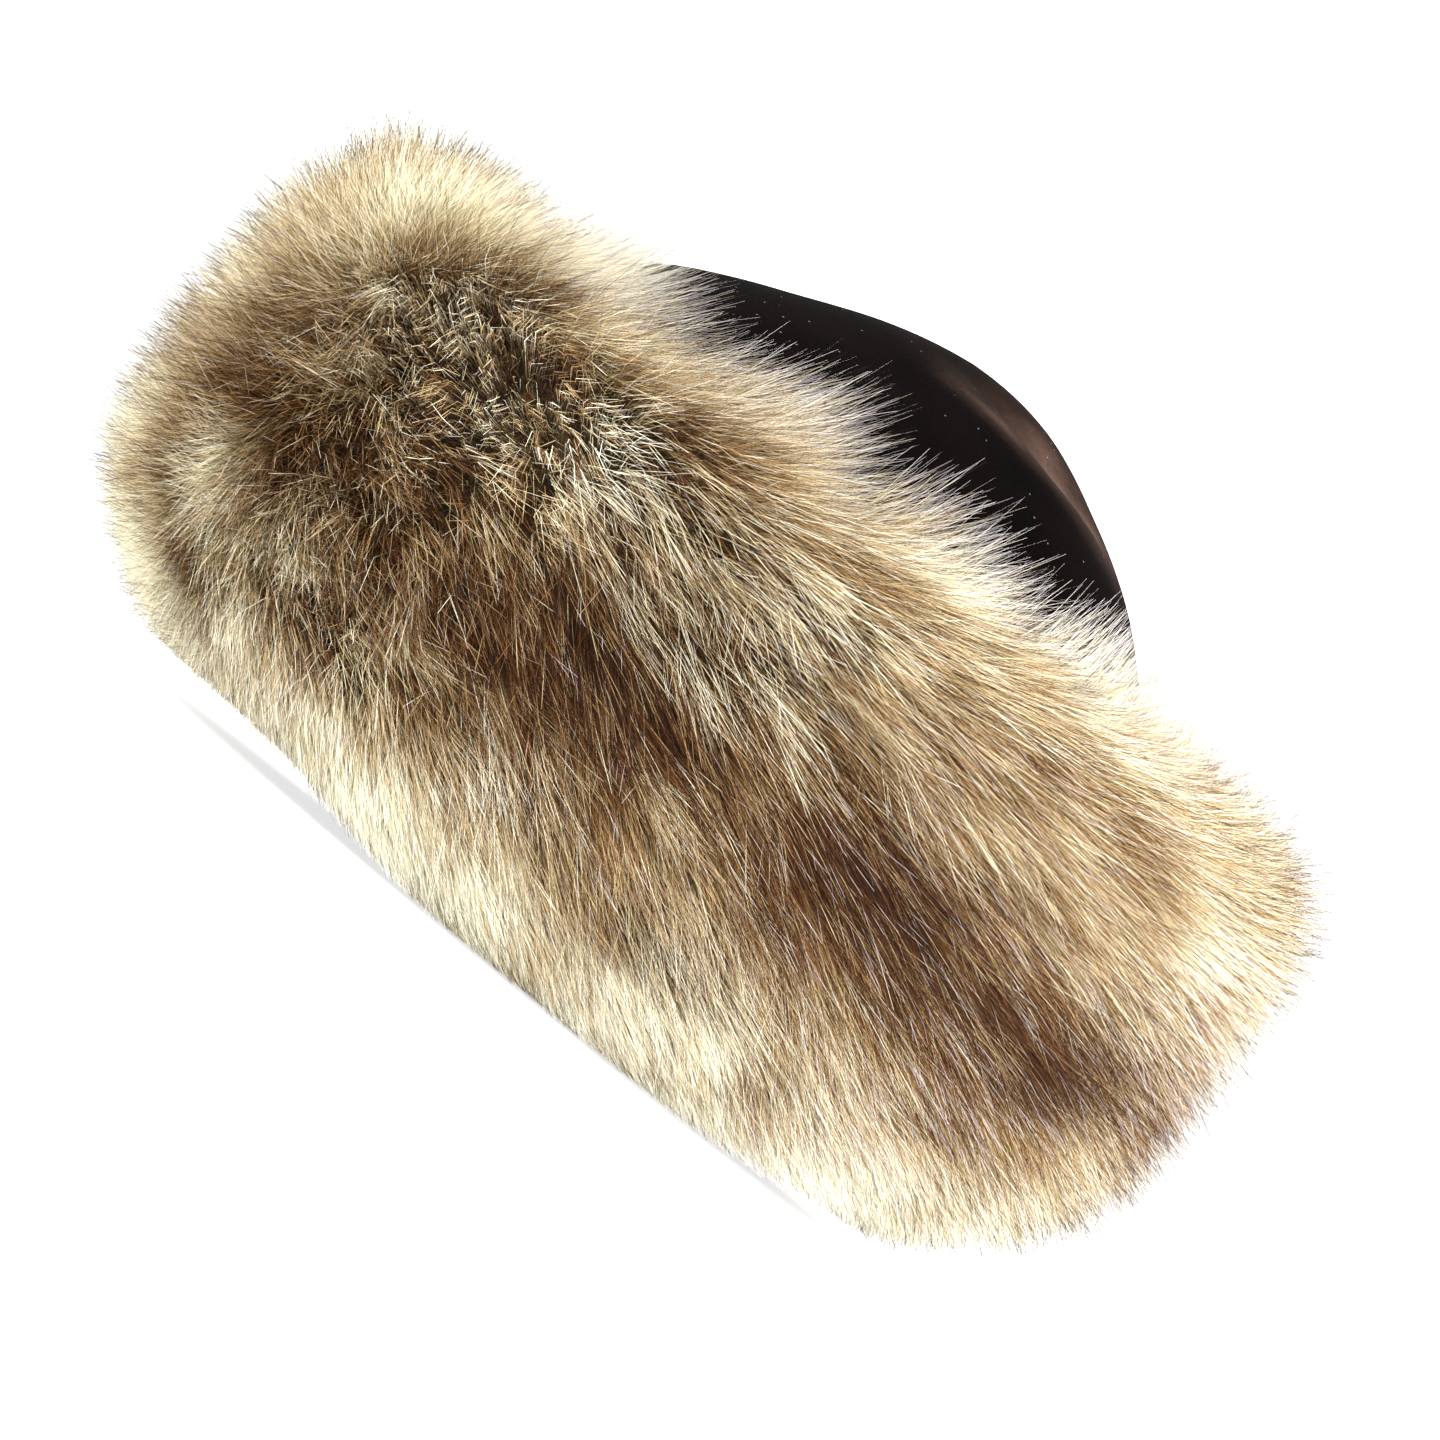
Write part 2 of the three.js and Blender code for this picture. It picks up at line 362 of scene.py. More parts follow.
def smooth_line(points, steps):
    """A rounded line that goes through a few points."""
    padded = np.vstack([points[0], points, points[-1]])
    t = np.linspace(0, 1, steps, endpoint=False)[:, None]
    line = []
    for a, b, c, d in zip(padded, padded[1:], padded[2:], padded[3:]):
        bend = (2 * a - 5 * b + 4 * c - d) * t ** 2 + (3 * b - a - 3 * c + d) * t ** 3
        line.append((2 * b + (c - a) * t + bend) / 2)
    return np.vstack(line + [points[-1:]])


def read_places(piece):
    """The vertices of a piece as rows of x, y and z."""
    places = np.empty(len(piece.data.vertices) * 3)
    piece.data.vertices.foreach_get("co", places)
    return places.reshape(-1, 3)


def write_places(piece, places):
    """Moves the vertices of a piece."""
    piece.data.vertices.foreach_set("co", places.ravel())
    piece.data.update()


crease_line = smooth_line(CREASE_PATH, CREASE_STEPS)


def beside_crease(plan):
    """Distance behind the crease (less than 0 in front of it), and the share along it."""
    gaps = np.linalg.norm(plan[:, None] - crease_line[None], axis=2)
    nearest = gaps.argmin(axis=1)
    behind = np.linalg.norm(plan, axis=1) < np.linalg.norm(crease_line[nearest], axis=1)
    return np.where(behind, 1, -1) * gaps.min(axis=1), nearest / (len(crease_line) - 1)


places = read_places(crown)
plan = places[:, :2]
from_wall = 1 - np.hypot(plan[:, 0] / WALL_X, plan[:, 1] / WALL_Y)
on_dome = smoothstep(from_wall, DOME_FROM, DOME_TO)
behind, share = beside_crease(plan)
lean = DOME_LEAN * np.sin(plan[:, 0] / WALL_X * math.pi)
ridge = CREASE_RISE * np.exp(-(behind / CREASE_WIDTH) ** 2)
furrow = FURROW_DEPTH * np.exp(-((behind - FURROW_BEHIND) / FURROW_WIDTH) ** 2)
slack = SLACK * np.sin(plan[:, 0] / SLACK_X + SLACK_BEND * np.sin(plan[:, 1] / SLACK_Y))
places[:, 2] += on_dome * (lean + (ridge - furrow) * np.sin(math.pi * share) + slack)
write_places(crown, places)
print("crown top:", round(places[:, 2].max() / MM, 1), "mm")

# %% [markdown]
# Solidify turns the single sheet into cloth with an inner and an outer face, and one level of
# subdivision rounds the folds. Both are applied, so the finished piece is plain mesh.

# %% Cloth thickness
CLOTH = 2 * MM


def apply_modifier(piece, kind, **settings):
    """Gives a piece one modifier and applies it."""
    bpy.context.view_layer.objects.active = piece
    modifier = piece.modifiers.new(kind.lower(), kind)
    for name, value in settings.items():
        setattr(modifier, name, value)
    bpy.ops.object.modifier_apply(modifier=modifier.name)


apply_modifier(crown, "SOLIDIFY", thickness=CLOTH, offset=-1)
apply_modifier(crown, "SUBSURF", levels=1, render_levels=1)
bpy.ops.object.shade_smooth()
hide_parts("crown")
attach(crown, "root")
print("crown faces with both sides of the cloth:", len(crown.data.polygons))

# %% [markdown]
# Velvet looks nearly black where the eye looks down into its pile, and lighter where the pile lies
# over. Here a painted sheen lightens a soft round place behind the crease, where light falls on the
# top of the dome, and a band along the crease is lighter: partly rubbed pile, partly a painted
# highlight. A little lint sits on it. How much of each a point gets comes from its place beside the
# crease and is kept on the mesh, so the colour follows the fold. The sheen of the shader gives the
# soft light round the edges.

# %% Velvet finish
# the band along the crease: partly rubbed pile, partly painted highlight
CREASE_WEAR_AND_HIGHLIGHT, CREASE_HIGHLIGHT_WIDTH, CREASE_HIGHLIGHT_START, CREASE_HIGHLIGHT_END = 0.55, 6 * MM, (0.02, 0.3), (-0.02, 0.2)
# painted sheen: a lighter place behind the crease, where light falls on the top of the dome
PAINTED_SHEEN, PAINTED_SHEEN_FROM, PAINTED_SHEEN_TO = 0.9, -1 * MM, 13 * MM
PAINTED_SHEEN_PLACE = np.array([46, -26]) * MM
PAINTED_SHEEN_SPREAD = np.array([42, 26]) * MM
LINT_SIZE, LINT_FROM, LINT_SHOWS = 0.07, 0.46, 0.5
NAP_PATCHY, NAP_EVEN, NAP_GRAIN, NAP_PILE, NAP_DARKER = 1.2, 0.3, 0.16, 0.25, 0.16

places = read_places(crown)
behind, share = beside_crease(places[:, :2])
ends = smoothstep(share, *CREASE_HIGHLIGHT_START) * smoothstep(1 - share, *CREASE_HIGHLIGHT_END)
crease_wear_and_highlight = CREASE_WEAR_AND_HIGHLIGHT * np.exp(-(behind / CREASE_HIGHLIGHT_WIDTH) ** 2) * ends
sheen_blob = np.exp(-((places[:, :2] - PAINTED_SHEEN_PLACE) / PAINTED_SHEEN_SPREAD) ** 2).prod(axis=1)
painted_sheen = PAINTED_SHEEN * smoothstep(behind, PAINTED_SHEEN_FROM, PAINTED_SHEEN_TO) * sheen_blob
# kept on the mesh: rubbed pile with a painted highlight along the crease, and painted sheen behind it
worn = crown.data.attributes.new("worn", "FLOAT", "POINT")
worn.data.foreach_set("value", np.clip(crease_wear_and_highlight + painted_sheen, 0, 1))

velvet = Finish("dark_brown_velvet")
where = velvet.node("ShaderNodeTexCoord", output=3)
pile = velvet.node("ShaderNodeTexNoise", values={"Vector": where, "Scale": 45, "Detail": 6})
grain = velvet.node("ShaderNodeTexNoise", values={"Vector": where, "Scale": 1100, "Detail": 2})
# reads the rubbed pile, the painted highlight and the painted sheen
wear_and_sheen_field = velvet.node("ShaderNodeAttribute", {"attribute_name": "worn"}, output=2)
specks = velvet.node("ShaderNodeTexVoronoi", values={"Vector": where, "Scale": 260})
few = velvet.node("ShaderNodeTexNoise", values={"Vector": where, "Scale": 60, "Detail": 1})
lint = (specks < LINT_SIZE) * (few > LINT_FROM)
nap_wear_and_sheen = wear_and_sheen_field * (pile * NAP_PATCHY + NAP_EVEN)
nap_and_sheen = velvet.ramp(nap_wear_and_sheen + grain * NAP_GRAIN + pile * NAP_PILE - NAP_DARKER, [
    (0.0, shade("030202")),
    (0.15, shade("090605")),
    (0.45, shade("201713")),
    (0.75, shade("3f3029")),
    (1.0, shade("5f4d45")),
])
with_lint = velvet.blend(lint * LINT_SHOWS, nap_and_sheen, shade("968880"))
velvet.give(velvet.surface.inputs["Base Color"], with_lint)
dent = velvet.node("ShaderNodeBump", values={"Strength": 0.4, "Distance": 0.0005, "Height": grain})
velvet.give(velvet.surface.inputs["Normal"], dent)
velvet.surface.inputs["Roughness"].default_value = 0.95
velvet.surface.inputs["Specular IOR Level"].default_value = 0.01
velvet.surface.inputs["Sheen Weight"].default_value = 0.004
velvet.surface.inputs["Sheen Roughness"].default_value = 0.3
velvet.surface.inputs["Sheen Tint"].default_value = shade("c8b4a8")
crown.data.materials.append(velvet.material)
print("rubbed points:", int((crease_wear_and_highlight > 0.2).sum()))

# %% [markdown]
# Under long hair lies a dense, dark underpile, which is what shows at the bottom of a parting. It
# stands in for the cloth backing too, and it closes the band on its inner side, next to the crown's
# wall. It is a torus whose tube is laid along the band's own section: three quarters of the tube
# follow the hair's surface at a depth, and the last quarter comes back down beside the crown.

# %% Underpile
RING_STEPS = 176
TUBE_STEPS = 44
UNDER_INSET = 27 * MM
CROWN_GAP = 0.6 * MM
HEM_LIFT = 1.0 * MM
TUBE_TURN, OUTER_SHARE = 0.35, 0.72
PILE_ROUGHNESS = 1.6 * MM
ALONG_SPAN, ALONG_START = 1.2, 0.08


def soft_noise(angle, along, cells_round, cells_up, seed):
    """Smooth random values from -1 to 1 that join up all the way round."""
    values = np.random.default_rng(seed).uniform(-1, 1, (cells_round, cells_up + 2))
    across = (angle / (2 * math.pi)) % 1 * cells_round
    up = np.clip(along / ALONG_SPAN + ALONG_START, 0, 1) * cells_up
    i, j = np.floor(across).astype(int), np.floor(up).astype(int)
    u, v = across - i, up - j
    u, v = u * u * (3 - 2 * u), v * v * (3 - 2 * v)
    i, right = i % cells_round, (i + 1) % cells_round
    low = values[i, j] * (1 - u) + values[right, j] * u
    high = values[i, j + 1] * (1 - u) + values[right, j + 1] * u
    return low * (1 - v) + high * v


bpy.ops.mesh.primitive_torus_add(major_segments=RING_STEPS, minor_segments=TUBE_STEPS,
                                 major_radius=1, minor_radius=0.5)
underpile = bpy.context.object
underpile.name = "fur_underpile"
places = read_places(underpile)
angle = np.arctan2(places[:, 1], places[:, 0])
tube = np.arctan2(places[:, 2], np.hypot(places[:, 0], places[:, 1]) - 1) / (2 * math.pi)
tube = (tube + TUBE_TURN) % 1
along = np.clip(tube / OUTER_SHARE, 0, 1)
rough = PILE_ROUGHNESS * soft_noise(angle, along, cells_round=150, cells_up=26, seed=3)
offset, height = fur_section(along, UNDER_INSET + rough)
back_down = np.clip((tube - OUTER_SHARE) / (1 - OUTER_SHARE), 0, 1)
top_height = FUR_TOP - UNDER_INSET
inner_height = top_height + (HEM_LIFT - top_height) * back_down
offset = np.where(tube > OUTER_SHARE, CROWN_GAP, offset)
height = np.where(tube > OUTER_SHARE, inner_height, np.maximum(height, HEM_LIFT))
write_places(underpile, beside_wall(angle, offset, height))
bpy.ops.object.mode_set(mode="EDIT")
bpy.ops.mesh.select_all(action="SELECT")
bpy.ops.mesh.normals_make_consistent(inside=False)
bpy.ops.object.mode_set(mode="OBJECT")
bpy.ops.object.shade_smooth()
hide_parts("fur_band")
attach(underpile, "root")

pile_finish = Finish("dark_underpile")
where = pile_finish.node("ShaderNodeTexCoord", output=3)
tuft = pile_finish.node("ShaderNodeTexNoise", values={"Vector": where, "Scale": 260, "Detail": 3})
fine = pile_finish.node("ShaderNodeTexNoise", values={"Vector": where, "Scale": 1500, "Detail": 2})
pile_finish.give(pile_finish.surface.inputs["Base Color"], pile_finish.ramp(tuft, [
    (0.3, shade("18140c")),
    (0.5, shade("302718")),
    (0.7, shade("503f27")),
]))
dent = pile_finish.node("ShaderNodeBump", values={
    "Strength": 0.9, "Distance": 0.002, "Height": tuft + fine * 0.4})
pile_finish.give(pile_finish.surface.inputs["Normal"], dent)
pile_finish.surface.inputs["Roughness"].default_value = 1
pile_finish.surface.inputs["Specular IOR Level"].default_value = 0.1
underpile.data.materials.append(pile_finish.material)
print("underpile faces:", len(underpile.data.polygons))

# %% [markdown]
# The pelt's colours are woven into the faux fur before the hat is sewn: a dark brown stripe all
# round the middle, cream above and below it, and brown and tan patches. tone gives each place a
# number from 0, cream, to 1, dark brown. The stripe and the cream edges go all round. The paler hem
# is partly the pelt's cream and partly painted light, as if the floor lit it from below. Each row of
# PATCHES is a soft patch on the front, in degrees round from the middle: a change above 0 makes the
# pelt darker there. The rows that pale the left end are partly painted light too, where the fur
# shades itself. Noise draws the rest, and all of the back.

# %% Pelt pattern
PATCHES = [
    # degrees round, height in mm, spread in degrees, spread in mm, change of tone
    # the rows at -84 and -54 degrees pale the left end: partly its own tan, partly painted light
    # where the fur shades itself
    (-84, 60, 17, 44, -0.52),
    (-74, 66, 9, 14, -0.16),
    (-72, 34, 10, 11, 0.34),
    (-70, 90, 9, 12, 0.28),
    (-66, 132, 12, 10, -0.10),
    (-64, 134, 18, 17, -0.24),
    (-60, 40, 7, 8, 0.12),
    (-57, 42, 8, 12, -0.18),
    (-56, 20, 8, 7, 0.62),
    (-55, 38, 7, 9, -0.12),
    (-54, 64, 9, 18, -0.40),
    (-52, 117, 4, 6, 0.14),
    (-50, 122, 6, 8, 0.10),
    (-48, 20, 6, 6, -0.24),
    (-44, 116, 6, 7, -0.14),
    (-43, 133, 7, 6, 0.36),
    (-42, 24, 12, 12, 0.04),
    (-41, 128, 5, 5, 0.24),
    (-38, 40, 12, 9, -0.16),
    (-38, 70, 10, 10, -0.20),
    (-38, 106, 16, 18, -0.16),
    (-38, 106, 13, 15, 0.06),
    (-36, 38, 16, 12, 0.08),
    (-34, 58, 9, 12, -0.10),
    (-28, 56, 6, 8, 0.12),
    (-27, 108, 5, 15, 0.24),
    (-26, 22, 8, 7, 0.20),
    (-22, 80, 6, 6, -0.16),
    (-22, 85, 7, 8, -0.12),
    (-22, 124, 9, 9, 0.14),
    (-20, 104, 6, 6, 0.12),
    (-18, 22, 10, 9, 0.18),
    (-18, 78, 5, 8, -0.10),
    (-17, 106, 6, 8, -0.24),
    (-14, 132, 8, 8, 0.30),
    (-12, 21, 6, 6, -0.12),
    (-10, 104, 4, 12, 0.10),
    (-10, 110, 12, 14, -0.08),
    (-7, 41, 8, 7, 0.14),
    (-6, 44, 9, 10, 0.38),
    (-5, 87, 6, 7, -0.34),
    (-3, 62, 9, 9, 0.32),
    (0, 89, 8, 7, -0.18),
    (0, 110, 9, 14, -0.10),
    (1, 126, 8, 5, 0.12),
    (2, 38, 22, 9, 0.06),
    (3, 59, 5, 6, 0.12),
    (4, 104, 6, 14, -0.16),
    (5, 78, 5, 6, 0.25),
    (6, 48, 6, 8, -0.28),
    (8, 68, 5, 12, -0.20),
    (9, 26, 10, 8, 0.14),
    (10, 118, 8, 9, 0.14),
    (10, 135, 5, 6, 0.12),
    (14, 66, 7, 9, -0.12),
    (14, 72, 7, 6, -0.14),
    (16, 30, 6, 6, -0.20),
    (17, 40, 5, 7, 0.26),
    (17, 136, 6, 7, -0.10),
    (21, 78, 9, 8, 0.10),
    (22, 128, 8, 10, 0.16),
    (26, 20, 7, 6, -0.10),
    (26, 22, 20, 8, 0.14),
    (30, 108, 20, 14, 0.10),
    (32, 85, 6, 7, 0.22),
    (34, 52, 12, 8, 0.10),
    (41, 50, 5, 7, 0.12),
    (41, 60, 4, 6, 0.16),
    (41, 92, 10, 9, 0.10),
    (42, 20, 7, 7, 0.20),
    (42, 42, 9, 10, 0.22),
    (42, 142, 7, 9, -0.16),
    (50, 84, 9, 8, 0.04),
    (50, 100, 8, 12, -0.20),
    (50, 118, 6, 8, 0.12),
    (57, 38, 8, 8, 0.20),
    (58, 112, 9, 14, -0.14),
    (68, 60, 8, 9, -0.12),
    (68, 62, 8, 15, -0.32),
    (76, 118, 12, 26, -0.16),
    (86, 70, 8, 26, -0.16),
]
STRIPE_HEIGHT, STRIPE_SPREAD, STRIPE_TONE = 67 * MM, 17 * MM, 0.50
STRIPE_DRIFT = 4 * MM
BASE_TONE = 0.28
# paler hem: partly the pelt's cream, partly painted light from below
HEM_CREAM_AND_LIGHT, HEM_PALE_BELOW, HEM_PALE_OVER = 0.27, 44 * MM, 36 * MM
TOP_PALER, TOP_PALE_FROM, TOP_PALE_TO = 0.18, 0.84, 0.96
FRONT_DEGREES, FRONT_FADE = 110, 30
BROAD_CLOUDS, BROAD_CLOUDS_LESS, FINE_CLOUDS = 0.14, 0.05, 0.12


def degrees_round(angle):
    """Degrees round the hat from the middle of its front."""
    return np.degrees((angle + math.pi / 2 + math.pi) % (2 * math.pi) - math.pi)


def at_places(angle, height, table):
    """The sum of soft round patches, given as rows of place, spread and strength."""
    total = np.zeros(np.shape(angle))
    for degrees, middle, across, up, strength in table:
        far = ((degrees_round(angle) - degrees) / across) ** 2 + ((height / MM - middle) / up) ** 2
        total += strength * np.exp(-far)
    return total


def stripe(angle, height):
    """1 along the middle of the dark stripe, falling to 0 beside it."""
    wander = STRIPE_DRIFT * soft_noise(angle, 0.5, cells_round=11, cells_up=1, seed=31)
    return np.exp(-((height - STRIPE_HEIGHT - wander) / STRIPE_SPREAD) ** 2)


def tone_at(angle, along, height):
    """The pelt's tone: 0 is cream, 1 is dark brown."""
    near_front = smoothstep(FRONT_DEGREES - np.abs(degrees_round(angle)), 0, FRONT_FADE)
    clouds = BROAD_CLOUDS - BROAD_CLOUDS_LESS * near_front
    tone = BASE_TONE + STRIPE_TONE * stripe(angle, height) + at_places(angle, height, PATCHES)
    # the hem is paler: partly cream pelt, partly painted light from below
    tone -= HEM_CREAM_AND_LIGHT * smoothstep(HEM_PALE_BELOW - height, 0, HEM_PALE_OVER)
    tone -= TOP_PALER * smoothstep(along, TOP_PALE_FROM, TOP_PALE_TO)
    tone += clouds * soft_noise(angle, along, cells_round=19, cells_up=7, seed=32)
    return tone + FINE_CLOUDS * soft_noise(angle, along, cells_round=47, cells_up=15, seed=33)


angles = np.linspace(-math.pi, math.pi, 9)
print("tones round the stripe:", np.round(tone_at(angles, 0.5, np.full(9, STRIPE_HEIGHT)), 2))

# %% [markdown]
# Hairs don't stand one by one: they gather into locks that share a length, a colour and a bend.
# Three grids laid on the fur, all warped by noise so that no rows show, say which locks a hair
# belongs to: a big one, a small one and, where the fur parts, one of a size between them. A hair is
# drawn towards the middle of its locks, more and more towards its tip.

# %% Locks
ROUND_LENGTH = 2 * math.pi * (WALL_X + WALL_Y + 2 * FUR_DEPTH) / 2
SECTION_LENGTH = 226 * MM
GRID_SPAN, GRID_START = 1.25, 0.06
LOCK_WARP = 0.8
MIDDLE_FROM, MIDDLE_TO = 0.25, 0.75
RIM_MOST = 2


class Locks:
    """A grid of locks on the fur, each with its own random values."""

    def __init__(self, width, seed):
        self.cells_round = round(ROUND_LENGTH / width)
        self.cells_up = round(GRID_SPAN * SECTION_LENGTH / width)
        self.step_round = 2 * math.pi / self.cells_round
        self.step_up = GRID_SPAN / self.cells_up
        self.seed = seed
        draw = np.random.default_rng(seed)
        shape = (self.cells_round, self.cells_up + 2)
        self.middle = draw.uniform(MIDDLE_FROM, MIDDLE_TO, shape + (2,))
        self.values = draw.normal(0, 1, shape + (4,)).clip(-2, 2)

    def warp(self, angle, along, seed):
        """Noise that bends the rows of the grid."""
        return LOCK_WARP * soft_noise(angle, along, self.cells_round // 2, self.cells_up // 2, seed)

    def of(self, angle, along):
        """Each hair's way to the middle of its lock, how near it is to the rim, and its values."""
        across = angle / self.step_round + self.warp(angle, along, self.seed + 1)
        up = (along + GRID_START) / self.step_up + self.warp(angle, along, self.seed + 2)
        across, up = across % self.cells_round, np.clip(up, 0, self.cells_up)
        i = np.floor(across).astype(int) % self.cells_round
        j = np.floor(up).astype(int)
        middle = self.middle[i, j]
        to_round = (middle[:, 0] - across % 1) * self.step_round
        to_up = (middle[:, 1] - up % 1) * self.step_up
        rim = (2 * to_round / self.step_round) ** 2 + (2 * to_up / self.step_up) ** 2
        return to_round, to_up, np.clip(rim, 0, RIM_MOST), self.values[i, j]


big_locks = Locks(12 * MM, 41)
parted_locks = Locks(6.5 * MM, 46)
small_locks = Locks(3.7 * MM, 51)
for name, locks in (("big", big_locks), ("parted", parted_locks), ("small", small_locks)):
    print(name, "locks:", locks.cells_round * locks.cells_up)

# %% [markdown]
# A hair starts deep in the underpile, and on its way out it leans round the hat and is combed down
# over the stripe and the hem, or in over the crown at the top. On the front's left side the fur
# isn't combed: the hair there points at the eye. MATTED says where it curls up into a whorl of short
# tufts, and PARTED where it falls apart into locks with dark gaps between them. TOP_DIPS makes the
# fringe over the crown uneven.

# %% How the hair is combed
ROOT_INSET = 26 * MM
LEAN = 23 * MM
LEAN_RIGHT = 3 * MM
LEAN_TOP = 7 * MM
TOP_TRIM, TOP_RAGGED = 3.5 * MM, 3 * MM
TOP_DIPS = [
    # degrees round, height in mm, spread in degrees, spread in mm, mm shorter
    (-43, 150, 12, 900, 8),
    (-20, 150, 5, 900, -2),
    (-7, 150, 5, 900, 8),
    (6, 150, 3, 900, -2),
    (27, 150, 10, 900, 9),
]
RIM_SHORTER = 9 * MM
BIG_UNEVEN, SMALL_UNEVEN = 1.6 * MM, 1.3 * MM
MIDDLE, CURLED_MIDDLE = 0.52, 0.84
TURN_DOWN = [
    # share along the section, and how far the tip is combed down it, in mm
    (-0.02, 3), (0.1, 9), (0.22, 14), (0.42, 14), (0.55, 13), (0.7, 12), (0.8, 6), (0.88, -2),
    (0.95, -9), (1.08, -14),
]
MORE_DOWN = [
    # degrees round, height in mm, spread in degrees, spread in mm, mm further down
    (-90, 75, 36, 200, -12),
    (-38, 95, 18, 40, -8),
    (-33, 40, 16, 11, -12),
    (75, 80, 30, 90, -5),
    (24, 98, 32, 28, -5),
]
MATTED = [
    # degrees round, height in mm, spread in degrees, spread in mm, strength
    (-39, 109, 18, 28, 1.0),
    (-37, 38, 13, 11, 0.55),
]
PARTED = [
    # the same columns
    (-17, 112, 9, 15, 0.9),
    (-26, 128, 12, 7, 0.6),
    (-3, 124, 11, 7, 0.9),
    (-1, 104, 9, 12, 0.9),
    (-12, 88, 11, 8, 0.6),
    (9, 27, 5, 5, 0.5),
    (6, 34, 22, 11, 0.6),
    (30, 134, 12, 8, 0.4),
    (-38, 30, 16, 12, 0.4),
]
turn_shares, turn_lengths = np.array(TURN_DOWN).T
print("places where the hair is matted or parted:", len(MATTED) + len(PARTED))

# %% [markdown]
# Roots drawn at random would leave bare spots. Two steps that never fall into line with each other
# spread them evenly instead: one step goes round the hat and the other up the section. More roots
# go where the section is wider, and fewer go under the hem, which is pressed on the floor.

# %% Hair roots
STEP_ROUND, STEP_UP = 0.7548776662, 0.5698402910
SHIFT_ROUND, SHIFT_UP = 0.137, 0.311
TURNS = 721
HEM_SHARE, HEM_EDGE = 0.45, (0.04, 0.2)
ROOT_SHARES = np.linspace(0.01, 1.1, 200)


def hair_roots(count, seed):
    """Evenly spread roots, as angles round the hat and shares along the section."""
    number = np.arange(count) + 0.5
    first = (number * STEP_ROUND + SHIFT_ROUND * seed) % 1
    second = (number * STEP_UP + SHIFT_UP * seed) % 1
    turn = np.linspace(-math.pi, math.pi, TURNS)
    rim = beside_wall(turn, np.full(TURNS, FUR_DEPTH), np.zeros(TURNS))
    walked = np.concatenate([[0], np.cumsum(np.linalg.norm(np.diff(rim, axis=0), axis=1))])
    angle = np.interp(first * walked[-1], walked, turn)
    offset = fur_section(ROOT_SHARES, 0)[0]
    density = HEM_SHARE + (1 - HEM_SHARE) * smoothstep(ROOT_SHARES, *HEM_EDGE)
    weight = (offset + (WALL_X + WALL_Y) / 2) * density
    filled = np.concatenate([[0], np.cumsum(weight[1:])])
    along = np.interp(second * filled[-1], filled, ROOT_SHARES)
    return angle, along


angle, along = hair_roots(1000, 1)
print("roots spread over shares", round(along.min(), 2), "to", round(along.max(), 2))

# %% [markdown]
# A coat is many hairs of one kind, and each hair is a path of three places, worked out in the fur's
# own measures. The hairs of a lock share a bend, a length and a tone. A hair near the rim of its
# lock is shorter, and painted shade makes it darker, as the shade between locks, so that the locks
# stand apart.

# %% Coats of hair
ROOT_CURVE, COMB_CURVE, DRAW_CURVE = 1.1, 1.25, 1.5
# where a smooth change starts and ends
MATTED_EDGE, PARTED_EDGE, CROWN_EDGE = (0.25, 0.7), (0.15, 0.7), (0.82, 0.94)
RIGHT_EDGE, TOP_EDGE, RAGGED_EDGE = (-0.2, 0.4), (0.7, 1), (0.7, 0.9)
FLOOR_GAP, FLOOR_UNEVEN = 0.4 * MM, 0.8 * MM
LOWEST_NORMAL = -0.1
EDGE_BIG, EDGE_SMALL = 3, 4
BIG_TONE, SMALL_TONE, SMALL_TONE_DARK = 0.06, 0.05, 0.10
# painted shade at the rims of locks, more where the fur is matted or parted
RIM_SHADE, RIM_SHADE_UNCOMBED, RIM_SHADE_DARK = 0.2, 0.6, 0.4
DARK_LOCK_FROM, DARK_LOCK, DARK_LOCK_UNCOMBED = 0.7, 0.08, 0.5
VARIETY, VARIETY_DARK, DARKEST = 0.08, 0.22, 0.7


